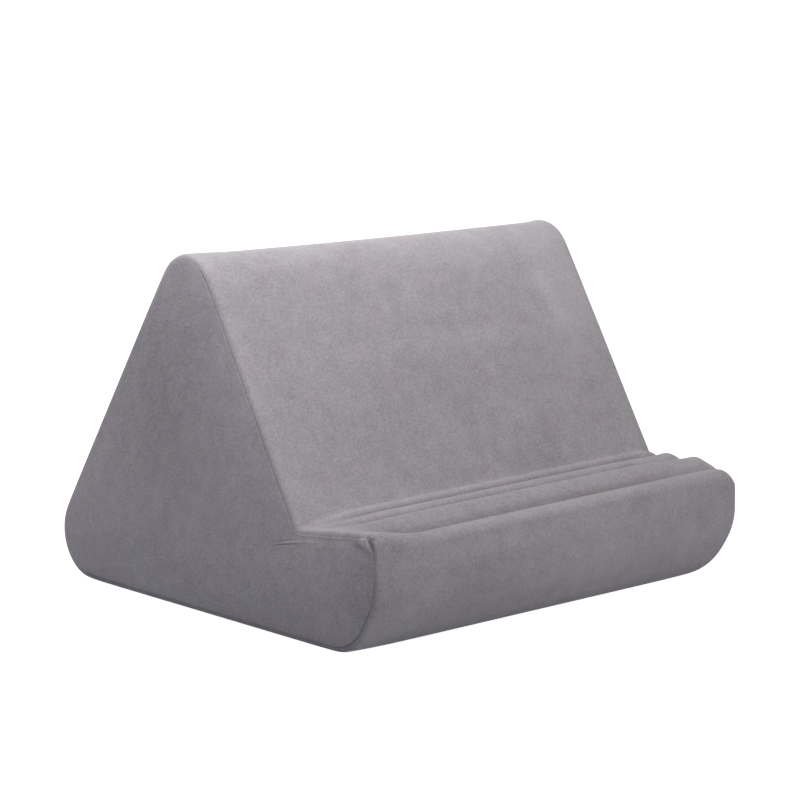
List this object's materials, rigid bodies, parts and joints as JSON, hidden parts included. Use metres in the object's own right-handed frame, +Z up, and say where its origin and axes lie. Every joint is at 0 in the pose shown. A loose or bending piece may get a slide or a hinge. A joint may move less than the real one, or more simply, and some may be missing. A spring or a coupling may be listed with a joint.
{
  "type": "tablet pillow stand",
  "caption": "Firm wedge-shaped pillow in plush cloth with a long slope that a tablet leans on and a front ledge of soft sewn rolls that holds its lower edge.",
  "frame": {"origin": "centre of the bounding box on the base plane", "axes": "+X along the ledge from the left end panel to the right one, -Y towards the ledge, +Z up"},
  "size_m": [0.2706, 0.2702, 0.1907],
  "materials": {
    "wrap_plush": "short-pile plush, matte with a soft nap sheen",
    "end_plush": "short-pile plush with its nap laid the other way, matte"
  },
  "bodies": {
    "root": {"pillow_body": "wrap_plush", "end_panel_left": "end_plush", "end_panel_right": "end_plush"}
  },
  "joints": []
}
